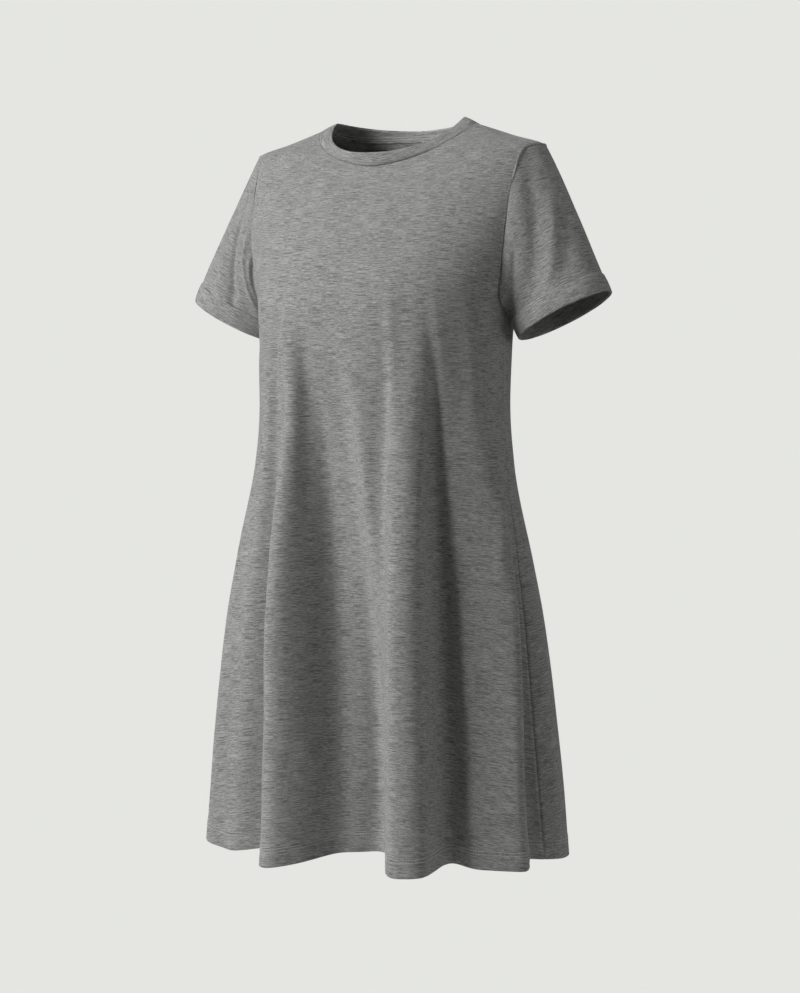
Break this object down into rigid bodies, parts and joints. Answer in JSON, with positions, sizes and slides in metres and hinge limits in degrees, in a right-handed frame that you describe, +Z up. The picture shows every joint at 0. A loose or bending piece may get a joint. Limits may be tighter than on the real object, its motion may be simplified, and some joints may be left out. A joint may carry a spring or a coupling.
{
  "type": "t-shirt dress",
  "caption": "Swing T-shirt dress in heather jersey with a round ribbed neckband and short turned-up sleeves, filled out as when it is worn.",
  "frame": {"origin": "midway between the two points where the shoulder seams meet the neckband, where the wearer's shoulders hold the dress", "axes": "+Z up from the hem to the shoulders, the front faces -Y, the wearer's left is +X"},
  "size_m": [0.5604, 0.3383, 0.8568],
  "materials": {
    "heather_jersey": "matt single jersey, grey heather",
    "jersey_neckband": "matt folded jersey binding, grey heather"
  },
  "bodies": {
    "root": {"front": "heather_jersey", "back": "heather_jersey", "sleeve_left": "heather_jersey", "sleeve_right": "heather_jersey", "cuff_left": "heather_jersey", "cuff_right": "heather_jersey", "neckband": "jersey_neckband"}
  },
  "joints": []
}
